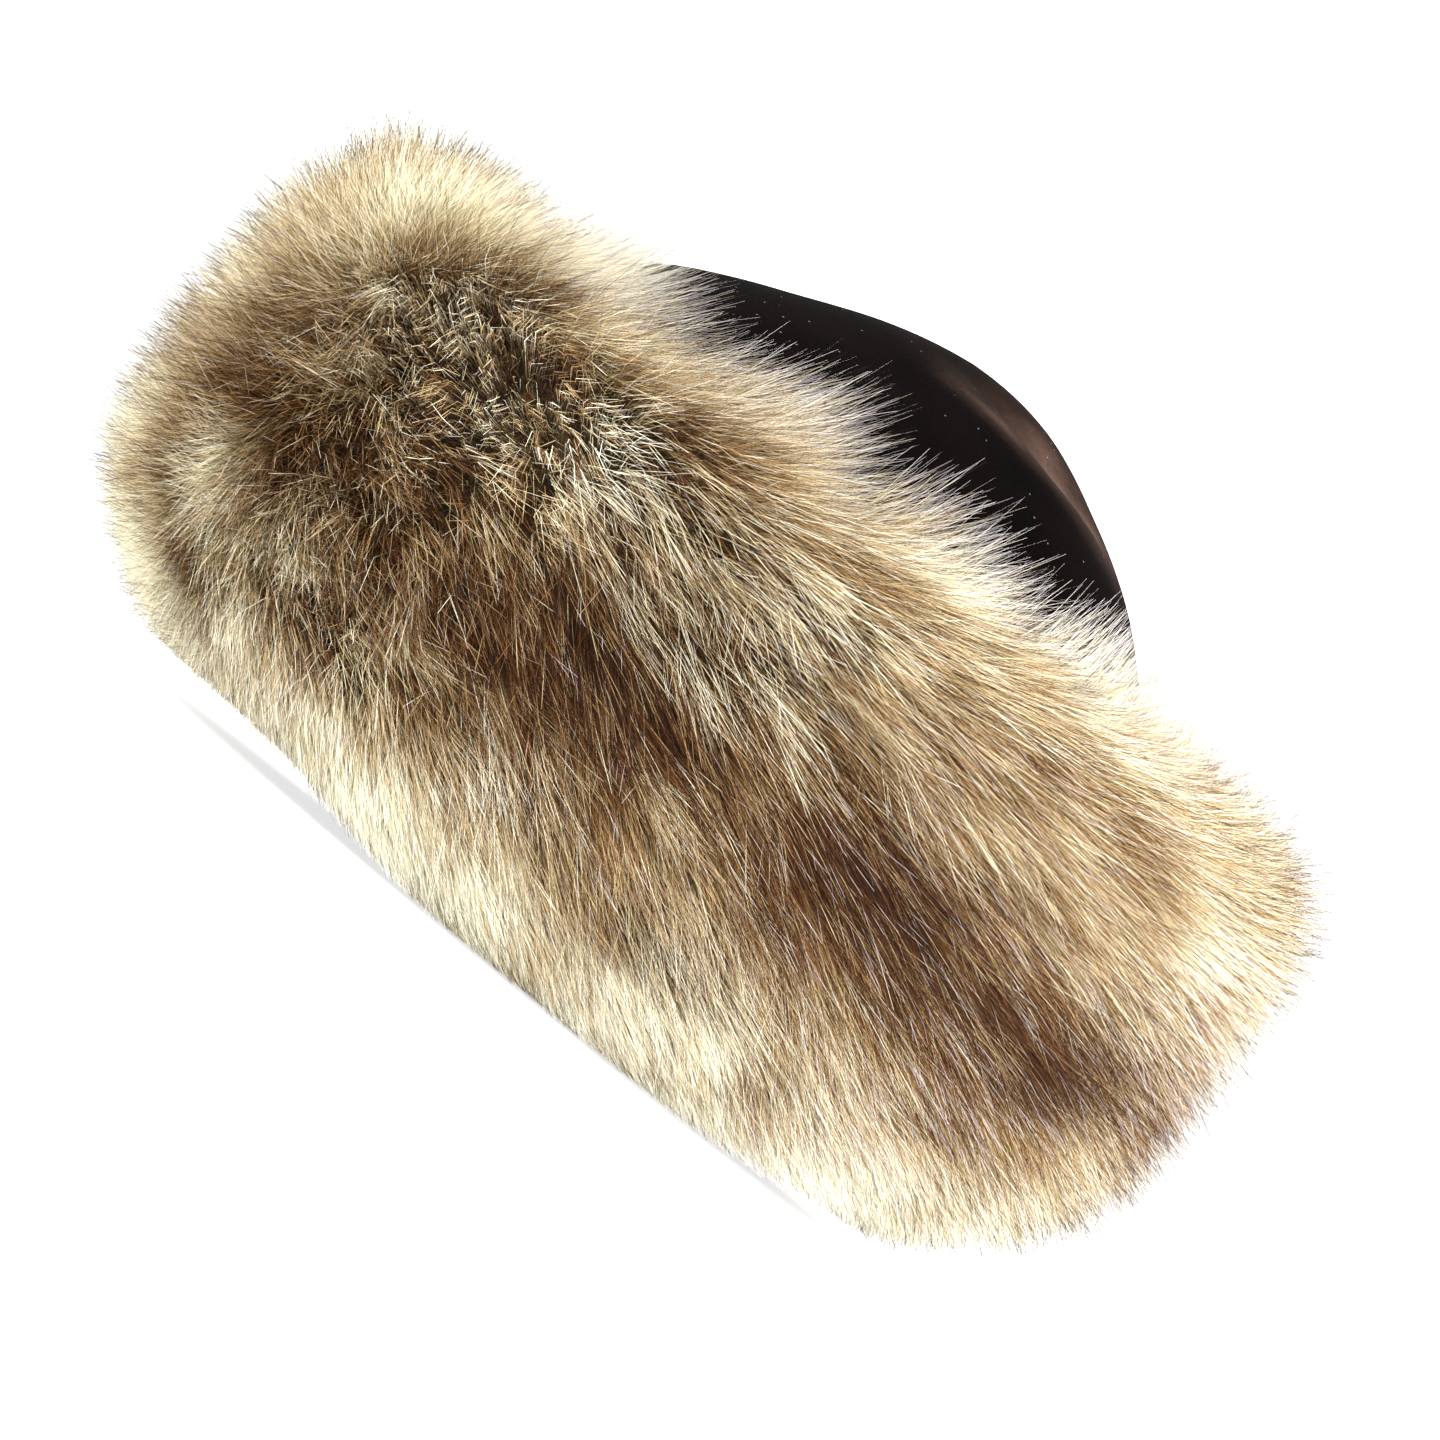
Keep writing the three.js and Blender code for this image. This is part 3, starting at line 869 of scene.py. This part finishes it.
class Coat:
    """Many hairs of one kind.

    Its gathers, tip_inset, tousle and straying are set before it grows. Each is one number, or an
    array with one for each hair.
    """

    def __init__(self, count, seed):
        self.count = count
        self.angle, self.along = hair_roots(count, seed)
        self.root_height = fur_section(self.along, 0)[1]
        self.matted = smoothstep(self.at(MATTED), *MATTED_EDGE)
        self.parted = smoothstep(self.at(PARTED), *PARTED_EDGE)
        self.over_crown = smoothstep(self.along, *CROWN_EDGE)
        self.lean = LEAN + LEAN_RIGHT * smoothstep(np.cos(self.angle), *RIGHT_EDGE)
        self.lean = self.lean + LEAN_TOP * smoothstep(self.along, *TOP_EDGE)
        self.part_gather = 0

    def at(self, table):
        """The sum of a table's patches at each root."""
        return at_places(self.angle, self.root_height, table)

    def varied(self, usual, matted=0, parted=0, over_crown=0):
        """A setting that changes where the fur is matted or parted, and over the crown."""
        change = matted * self.matted + parted * self.parted + over_crown * self.over_crown
        return usual + change

    def find_locks(self):
        """Finds each hair's locks, and how it is pulled towards their middles."""
        big_round, big_up, _, self.big = big_locks.of(self.angle, self.along)
        small_round, small_up, small_rim, self.small = small_locks.of(self.angle, self.along)
        part_round, part_up, part_rim, self.part = parted_locks.of(self.angle, self.along)
        self.pull_round = self.big_gather * big_round + self.small_gather * small_round
        self.pull_round = self.pull_round + self.part_gather * part_round
        self.pull_up = self.big_gather * big_up + self.small_gather * small_up
        self.pull_up = self.pull_up + self.part_gather * part_up
        self.rim = small_rim * self.small_gather + part_rim * self.part_gather

    def shared(self, index):
        """A random value that a lock's hairs share. Where the fur parts, its own locks count."""
        of_small, of_part = self.varied(1, parted=-0.8), self.varied(0, parted=1.1)
        shared = self.big[:, index] + of_small * self.small[:, index]
        return shared + of_part * self.part[:, index]

    def combing(self, strays):
        """How far each tip is combed round the hat and down it."""
        lean = self.lean * self.varied(1, matted=-0.75) + self.straying * strays[:, 0]
        lean = lean + self.tousle * self.shared(0)
        down = (np.interp(self.along, turn_shares, turn_lengths) + self.at(MORE_DOWN)) * MM
        down = down * self.varied(1, matted=-0.7) + self.tousle * self.shared(1)
        return lean, down + self.straying * strays[:, 1]

    def tip_depth(self):
        """How far inside the fur's surface each tip ends."""
        tip = self.tip_inset + BIG_UNEVEN * self.big[:, 2] + SMALL_UNEVEN * self.small[:, 2]
        wavy = soft_noise(self.angle, 0.5, cells_round=31, cells_up=1, seed=81)
        ragged = TOP_TRIM + TOP_RAGGED * wavy + self.at(TOP_DIPS) * MM
        return tip + RIM_SHORTER * self.rim + ragged * smoothstep(self.along, *RAGGED_EDGE)

    def pelt_tone(self, angle, along, height, draw):
        """The pelt's tone where a hair's outer part lies, changed by its locks and by chance, with
        painted shade at the rims of the locks.
        """
        outer = slice(1, None)
        edge = (EDGE_BIG * self.big[:, 0] + EDGE_SMALL * self.small[:, 1]) * MM
        level = height[:, outer].mean(1) + edge
        tone = tone_at(angle[:, outer].mean(1), along[:, outer].mean(1), level)
        darkness = np.clip(tone, 0, DARKEST)
        small_tone = SMALL_TONE + SMALL_TONE_DARK * darkness
        tone = tone + BIG_TONE * self.big[:, 3] + small_tone * self.small[:, 3]
        # painted shade: hairs at the rim of a lock are darker, as in the shade between locks
        painted_rim_shade = self.varied(RIM_SHADE, matted=RIM_SHADE_UNCOMBED, parted=RIM_SHADE_UNCOMBED)
        tone = tone + (painted_rim_shade + RIM_SHADE_DARK * darkness) * self.rim
        dark_lock = self.small[:, 3] > DARK_LOCK_FROM
        uncombed = np.maximum(self.parted, self.matted)
        tone = tone + (DARK_LOCK + DARK_LOCK_UNCOMBED * uncombed) * dark_lock
        variety = (VARIETY + VARIETY_DARK * darkness) * self.varied(1, matted=-0.5)
        return tone + variety * draw.normal(0, 1, self.count)

    def grow(self, draw):
        """Works out the places, normals and tone of each hair's three points."""
        self.find_locks()
        lean, down = self.combing(draw.normal(0, 1, (self.count, 2)))
        middle = self.varied(MIDDLE, matted=CURLED_MIDDLE - MIDDLE)
        self.steps = t = np.stack([np.zeros(self.count), middle, np.ones(self.count)], axis=1)
        combed = t ** self.varied(COMB_CURVE, matted=2.5)[:, None]
        drawn = t ** self.varied(DRAW_CURVE, matted=-0.5)[:, None]
        turned = combed * (lean / (ROUND_LENGTH / (2 * math.pi)))[:, None]
        fallen = combed * (down / SECTION_LENGTH)[:, None]
        angle = self.angle[:, None] + turned + drawn * self.pull_round[:, None]
        along = self.along[:, None] - fallen + drawn * self.pull_up[:, None]

        inset = ROOT_INSET * (1 - t) ** ROOT_CURVE + self.tip_depth()[:, None] * t
        offset, height = fur_section(along, inset)
        lowest = FLOOR_GAP + FLOOR_UNEVEN * draw.random((self.count, 1))
        height = np.maximum(height, lowest)
        self.places = beside_wall(angle, offset, height)
        self.normals = fur_normal(angle, along)
        self.normals[:, :, 2] = np.maximum(self.normals[:, :, 2], LOWEST_NORMAL)
        self.tone = self.pelt_tone(angle, along, height, draw)


# %% [markdown]
# A hair is a flat ribbon: a triangle from its root to its middle and a quad to its tip, which is the
# part that shows. Ribbons are far cheaper than tubes, and at this scale nobody sees the difference,
# as long as each is rolled by a random angle and shaded as if it were round. So each point gets a
# shading normal between the ribbon's own and straight out of the fur.

# %% Ribbons
FULL_ROLL = math.radians(65)
HALF_COLUMN = 0.0016
RIBBON_POINTS = 5
RIBBON_CORNERS = [0, 2, 1, 1, 2, 4, 3]
RIBBON_SIZES = [3, 4]
CHART_LOW, CHART_HIGH = 0.02, 0.98
TINY, SMALL = 1e-9, 1e-4


def unit(rows):
    """Rows scaled to length 1."""
    return rows / np.maximum(np.linalg.norm(rows, axis=-1, keepdims=True), TINY)


def ribbon_mesh(name, coat, chosen, softness, draw):
    """One mesh of the chosen hairs. Soft hair takes its shading from the fur's surface."""
    places, normals, steps = coat.places[chosen], coat.normals[chosen], coat.steps[chosen]
    widths, column = coat.widths[chosen], coat.column[chosen]
    count = len(places)
    along = unit(np.gradient(places, axis=1))
    out = unit(normals - (normals * along).sum(-1, keepdims=True) * along + SMALL)
    side = np.cross(along, out)
    roll = draw.uniform(-FULL_ROLL, FULL_ROLL, (count, 1, 1))
    half = widths[:, :, None] / 2 * (side * np.cos(roll) - out * np.sin(roll))
    pairs = np.stack([places - half, places + half], axis=2)[:, 1:].reshape(count, 4, 3)
    vertices = np.concatenate([places[:, :1], pairs], axis=1)
    shading = unit(out * np.cos(roll / 2) + side * np.sin(roll / 2) + softness * normals)
    shading = np.repeat(shading, 2, axis=1)[:, 1:]

    start = np.arange(count)[:, None] * RIBBON_POINTS
    corners = np.array(RIBBON_CORNERS)
    sizes = np.tile(RIBBON_SIZES, count)
    mesh = bpy.data.meshes.new(name)
    mesh.vertices.add(count * RIBBON_POINTS)
    mesh.vertices.foreach_set("co", vertices.ravel())
    mesh.loops.add(count * len(corners))
    mesh.loops.foreach_set("vertex_index", (start + corners).ravel())
    mesh.polygons.add(len(sizes))
    mesh.polygons.foreach_set("loop_start", np.concatenate([[0], np.cumsum(sizes)[:-1]]))
    mesh.polygons.foreach_set("use_smooth", np.ones(len(sizes), bool))

    uv = np.empty((count, RIBBON_POINTS, 2))
    uv[:, :, 0] = column[:, None] + np.array([0, -1, 1, -1, 1]) * HALF_COLUMN
    uv[:, :, 1] = CHART_LOW + (CHART_HIGH - CHART_LOW) * np.repeat(steps, 2, axis=1)[:, 1:]
    chart = mesh.uv_layers.new(name="OFBake")
    chart.uv.foreach_set("vector", uv[:, corners].ravel())
    mesh.update(calc_edges=True)
    mesh.normals_split_custom_set_from_vertices(shading.reshape(-1, 3))
    piece = bpy.data.objects.new(name, mesh)
    bpy.context.collection.objects.link(piece)
    piece.data.materials.append(dye.material)
    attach(piece, "root")
    print(name, count, "hairs")


# %% [markdown]
# All the hair shares one finish, which reads each hair's place in a dye chart. The chart has four
# fields side by side: plain hair, hair with dark tips, hair with pale tips and hair whose roots are
# painted dark a long way up, as painted shade in the partings. Within a field the tone goes from
# cream to dark brown, and up the chart each hair runs from its root to its tip. A little light shines
# through the hair, which keeps the fur's shadows soft.

# %% Dye chart
FIELDS = 4
FIELD_MARGIN = 0.012
FIELD_WIDTH = 1 / FIELDS - 2 * FIELD_MARGIN
ROOT_SHADE_REACH = 0.18
THROUGH_SHARE = 0.28
STRIPE_TONES = (0.4, 0.7)
PLAIN, DARK_TIPPED, PALE_TIPPED, SHADED_ROOTS = 0, 1, 2, 3


def chart_column(field, tone):
    """A hair's column in the dye chart."""
    return field / FIELDS + FIELD_MARGIN + FIELD_WIDTH * np.clip(tone, 0, 1)


def dark_tipped(tone, usual, more_in_tan, less_in_stripe, tan):
    """The share of hairs with dark tips: more of them over tan fur, and fewer over the stripe."""
    in_stripe = smoothstep(tone, *STRIPE_TONES)
    return usual + more_in_tan * smoothstep(tone, *tan) - less_in_stripe * in_stripe


dye = Finish("dyed_hair")
chart = dye.node("ShaderNodeUVMap", {"uv_map": "OFBake"})
column = dye.node("ShaderNodeSeparateXYZ", values={"Vector": chart}, output=0)
reach = dye.node("ShaderNodeSeparateXYZ", values={"Vector": chart}, output=1)
past_first, past_second, past_third = [column > share / FIELDS for share in (1, 2, 3)]
in_field = column - (past_first + past_second + past_third) * (1 / FIELDS)
tone = (in_field - FIELD_MARGIN) * (1 / FIELD_WIDTH)
body = dye.ramp(tone, [
    (0.0, shade("fffce9")),
    (0.15, shade("f9f4de")),
    (0.35, shade("d0bb8c")),
    (0.55, shade("98744a")),
    (0.75, shade("62391a")),
    (1.0, shade("2e190c")),
])
root = dye.ramp(tone, [
    (0.0, shade("d2c8a4")),
    (0.3, shade("8a7548")),
    (0.6, shade("5c3e20")),
    (1.0, shade("26170c")),
])
# painted shade at the bottom of the partings
painted_root_shade = dye.ramp(tone, [
    (0.0, shade("3c3822")),
    (0.6, shade("2a1f10")),
    (1.0, shade("1c1209")),
])
dark_tip = dye.ramp(tone, [
    (0.0, shade("3a2a20")),
    (1.0, shade("140d0b")),
])
pale_tip = dye.ramp(tone, [
    (0.0, shade("eee6e8")),
    (1.0, shade("b9afaf")),
])
out_of_root = dye.ramp(reach - past_third * ROOT_SHADE_REACH, [
    (0.36, shade("000000")),
    (0.76, shade("ffffff")),
])
at_tip = dye.ramp(reach, [
    (0.74, shade("000000")),
    (0.84, shade("ffffff")),
])
hair_color = dye.blend(out_of_root, dye.blend(past_third, root, painted_root_shade), body)
hair_color = dye.blend((past_first - past_second) * at_tip, hair_color, dark_tip)
hair_color = dye.blend((past_second - past_third) * at_tip, hair_color, pale_tip)
dye.give(dye.surface.inputs["Base Color"], hair_color)
dye.surface.inputs["Roughness"].default_value = 0.7
dye.surface.inputs["Specular IOR Level"].default_value = 0.1
glow = dye.node("ShaderNodeBsdfTranslucent", values={"Color": hair_color})
opaque = Field(dye, dye.surface.outputs[0])
through = dye.node("ShaderNodeMixShader", values={0: THROUGH_SHARE, 1: opaque, 2: glow})
dye.give(dye.output.inputs["Surface"], through)
print("dye chart nodes:", len(dye.tree.nodes))

# %% [markdown]
# The long hair gives the fur its body. Most of it is gathered into locks, and a few loose hairs
# cross them. Over the crown it ends unevenly in a fringe of single hairs, many with silvery tips.
# Where the fur is matted or parted, the roots are painted dark a long way up, as painted shade in
# the gaps between tufts and locks. The hair is made in four pieces, one for each quarter of the hat.

# %% Long hair in four quarters
LONG_HAIRS = 196000
HAIR_WIDTHS = np.array([0, 0.19, 0.04]) * MM
HAIR_SOFTNESS = 1.2
QUARTERS = ["fur_left", "fur_front", "fur_right", "fur_back"]
# how far inside the fur's surface the tips end, in mm
TIP_MIDDLE, TIP_SPREAD, TIP_LIMITS = 3.0, 3.0, (-2, 11)
FRINGE_INSETS = (4, 14)
GATHER_UNEVEN = 0.12
LIGHTER, LIGHTER_SHARE = 0.35, 0.12
SILVER_FRINGE, ROOT_SHADE_SHARE = 0.8, 0.9
WIDTH_RANGE, QUARTER_SHIFT = (0.75, 1.25), math.pi * 1.25

draw = np.random.default_rng(7)
coat = Coat(LONG_HAIRS, 1)
on_band = 1 - coat.over_crown
gathers = draw.random(LONG_HAIRS) >= coat.varied(0.12, matted=-0.09)
uneven = GATHER_UNEVEN * soft_noise(coat.angle, coat.along, cells_round=37, cells_up=12, seed=61)
coat.big_gather = coat.varied(0.22, matted=0.1) * on_band
coat.small_gather = (uneven + coat.varied(0.38, matted=0.27, parted=-0.2)) * gathers * on_band
coat.part_gather = coat.varied(0.15, parted=0.68) * (1 - coat.matted) * on_band * gathers
tips = draw.normal(TIP_MIDDLE, TIP_SPREAD, LONG_HAIRS).clip(*TIP_LIMITS)
tips = tips + draw.uniform(*FRINGE_INSETS, LONG_HAIRS) * coat.over_crown
coat.tip_inset = (tips + coat.varied(0, matted=2)) * MM
coat.tousle = coat.varied(3.2, matted=-0.6) * coat.varied(1, over_crown=-0.85) * MM
coat.straying = coat.varied(3.0, matted=-2.3, parted=-1.8, over_crown=6) * MM
coat.grow(draw)

picked = draw.random(LONG_HAIRS) < LIGHTER_SHARE
tone = coat.tone - LIGHTER * picked * smoothstep(coat.tone, *STRIPE_TONES)
tipped_share = dark_tipped(tone, 0.05, more_in_tan=0.13, less_in_stripe=0.1, tan=(0.1, 0.3))
field = np.where(draw.random(LONG_HAIRS) < tipped_share, DARK_TIPPED, PLAIN)
silvery = draw.random(LONG_HAIRS) < SILVER_FRINGE * coat.over_crown
field = np.where(silvery, PALE_TIPPED, field)
# painted shade: roots dark a long way up where the fur is matted or parted
root_shaded = draw.random(LONG_HAIRS) < ROOT_SHADE_SHARE * np.maximum(coat.matted, coat.parted)
field = np.where(root_shaded & gathers, SHADED_ROOTS, field)
coat.column = chart_column(field, tone)
coat.widths = HAIR_WIDTHS * draw.uniform(*WIDTH_RANGE, (LONG_HAIRS, 1))
coat.widths = coat.widths * coat.varied(1, over_crown=-0.35)[:, None]
quarter = ((coat.angle + QUARTER_SHIFT) // (math.pi / 2) % 4).astype(int)
for index, name in enumerate(QUARTERS):
    ribbon_mesh(name, coat, quarter == index, HAIR_SOFTNESS, draw)

# %% [markdown]
# Guard hairs are the long, thin ones that stand out past the rest. Over the cream and tan fur most
# have short dark tips, which is what draws the fine dark strokes there and on the outline. Over the
# dark stripe and beside the crown many have silvery tips. On the right half of the hat these are
# partly silvery hair and partly painted sheen, light glancing off the hair. They come in two pieces.

# %% Guard hair
GUARD_HAIRS = 104000
GUARD_WIDTHS = np.array([0, 0.12, 0.05]) * MM
GUARD_SOFTNESS = 0.7
# how far inside the fur's surface the tips end, and how much longer a few hairs are, in mm
GUARD_INSETS, GUARD_FRINGE_INSETS = (-6, 1), (-7, 11)
LONG_SHARE, LONGER = 0.08, 4.5
GUARD_LEAN, CROSSING = 0.9, 6 * MM
GUARD_DARKER, GUARD_WIDTH_RANGE = 0.1, (0.7, 1.3)
# silvery tips on the right half: partly silvery hair, partly painted sheen
SILVER_AND_SHEEN, MORE_SILVER_AND_SHEEN, SILVER_EDGE, SILVER_DEGREES = 0.05, 0.2, (0.1, 0.6), (-10, 10)

coat = Coat(GUARD_HAIRS, 2)
tips = draw.uniform(*GUARD_INSETS, GUARD_HAIRS) + coat.varied(0, matted=14)
tips = tips - LONGER * (draw.random(GUARD_HAIRS) < LONG_SHARE)
tips = tips + draw.uniform(*GUARD_FRINGE_INSETS, GUARD_HAIRS) * coat.over_crown
coat.tip_inset = tips * MM
crossing = draw.normal(0, 1, GUARD_HAIRS) * CROSSING
crossing = crossing * (draw.random(GUARD_HAIRS) < coat.varied(0.25, over_crown=0.6))
coat.lean = coat.lean * GUARD_LEAN + crossing
coat.big_gather, coat.small_gather = 0.05, 0.1
coat.tousle, coat.straying = 1.8 * MM, 5.5 * MM
coat.grow(draw)

# more silvery tips on the right half, partly as painted sheen
silver_sheen_noise = soft_noise(coat.angle, coat.along, cells_round=13, cells_up=5, seed=71)
silver_and_sheen_share = SILVER_AND_SHEEN + MORE_SILVER_AND_SHEEN * smoothstep(silver_sheen_noise, *SILVER_EDGE)
silver_and_sheen_share = silver_and_sheen_share * smoothstep(degrees_round(coat.angle), *SILVER_DEGREES)
silver_and_sheen_share = silver_and_sheen_share + coat.varied(0.04, over_crown=0.6)
tipped_share = dark_tipped(coat.tone, 0.4, more_in_tan=0.4, less_in_stripe=0.45, tan=(0, 0.15))
field = np.where(draw.random(GUARD_HAIRS) < tipped_share, DARK_TIPPED, PLAIN)
field = np.where(draw.random(GUARD_HAIRS) < silver_and_sheen_share, PALE_TIPPED, field)
coat.column = chart_column(field, coat.tone + GUARD_DARKER)
coat.widths = GUARD_WIDTHS * draw.uniform(*GUARD_WIDTH_RANGE, (GUARD_HAIRS, 1))
coat.widths = coat.widths * coat.varied(1, over_crown=-0.3)[:, None]
for name, chosen in (("guard_hair_front", coat.angle < 0), ("guard_hair_back", coat.angle >= 0)):
    ribbon_mesh(name, coat, chosen, GUARD_SOFTNESS, draw)
